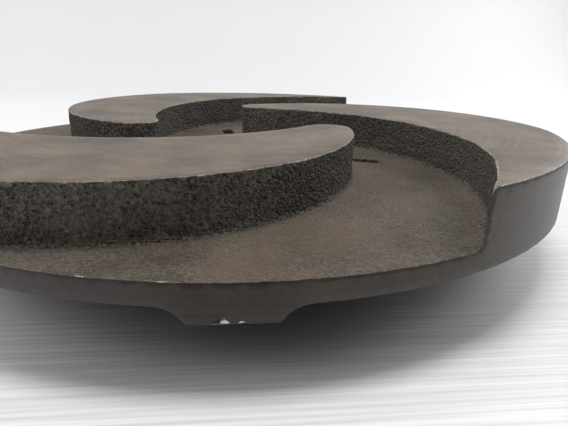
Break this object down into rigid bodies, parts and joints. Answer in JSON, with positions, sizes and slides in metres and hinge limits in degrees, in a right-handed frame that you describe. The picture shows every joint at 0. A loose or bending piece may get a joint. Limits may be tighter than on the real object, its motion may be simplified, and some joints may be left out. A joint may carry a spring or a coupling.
{
  "type": "semi-open pump impeller",
  "caption": "Cast-iron semi-open pump impeller: flat disc, three swept wedge-shaped vanes with rounded noses, bored hub and three low radial vanes behind.",
  "frame": {"origin": "on the shaft axis, at the hub's rear face that the casting stands on", "axes": "+Z along the shaft axis, from the hub's rear face towards the open vanes"},
  "size_m": [0.25, 0.25, 0.0406],
  "materials": {
    "cast_iron": "as-cast walls, turned vane tops and rim, dark brown-grey"
  },
  "bodies": {
    "root": {"impeller": "cast_iron"}
  },
  "joints": []
}
